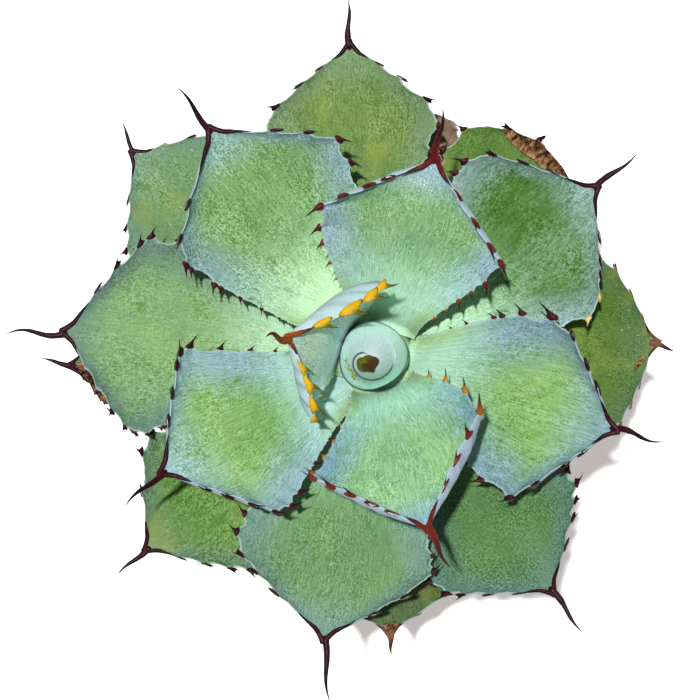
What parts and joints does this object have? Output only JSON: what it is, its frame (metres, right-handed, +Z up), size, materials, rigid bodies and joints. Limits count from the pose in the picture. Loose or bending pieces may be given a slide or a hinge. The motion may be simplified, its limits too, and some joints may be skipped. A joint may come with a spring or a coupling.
{
  "type": "potted agave",
  "caption": "Rosette succulent with broad cupped blue-green leaves, hooked marginal teeth and long end spines round a furled bud, on a short stem in a plain clay pot of soil.",
  "frame": {"origin": "centre of the pot's foot, on the surface that it stands on", "axes": "+Z up along the pot's axis, +Y towards the top of the plan view in the picture"},
  "size_m": [0.2859, 0.298, 0.3133],
  "materials": {
    "leaf_young": "waxy blue-green leaf with a pale bloom towards the margins",
    "leaf_mature": "waxy mid-green leaf with a grey bloom at the margins",
    "leaf_old": "scarred green leaf",
    "leaf_dry": "withered brown leaf",
    "spine_young": "orange-brown horn",
    "spine_red": "dark red horn",
    "spine_dark": "near-black maroon horn",
    "spine_dry": "dull brown dry horn",
    "bud": "pale blue-green waxy furled leaves",
    "bud_spine": "olive-brown young horn",
    "stem": "pale fibrous stem",
    "soil": "gritty potting mix",
    "clay": "unglazed terracotta"
  },
  "bodies": {
    "root": {"leaf_01": "leaf_young", "leaf_02": "leaf_young", "leaf_03": "leaf_young", "leaf_04": "leaf_young", "leaf_05": "leaf_young", "leaf_06": "leaf_young", "leaf_07": "leaf_mature", "leaf_08": "leaf_mature", "leaf_09": "leaf_mature", "leaf_10": "leaf_mature", "leaf_11": "leaf_mature", "leaf_12": "leaf_mature", "leaf_13": "leaf_old", "leaf_14": "leaf_old", "leaf_15": "leaf_old", "leaf_16": "leaf_old", "leaf_17": "leaf_old", "leaf_18": "leaf_dry", "leaf_01_spine": "spine_young", "leaf_02_spine": "spine_red", "leaf_03_spine": "spine_red", "leaf_04_spine": "spine_dark", "leaf_05_spine": "spine_dark", "leaf_06_spine": "spine_dark", "leaf_07_spine": "spine_dark", "leaf_08_spine": "spine_dark", "leaf_09_spine": "spine_dark", "leaf_10_spine": "spine_dark", "leaf_11_spine": "spine_dark", "leaf_12_spine": "spine_dark", "leaf_13_spine": "spine_dry", "leaf_14_spine": "spine_dark", "leaf_15_spine": "spine_dry", "leaf_16_spine": "spine_dry", "leaf_17_spine": "spine_dark", "leaf_18_spine": "spine_dry", "bud": "bud", "bud_spine": "bud_spine", "stem": "stem", "soil": "soil", "pot": "clay"}
  },
  "joints": []
}
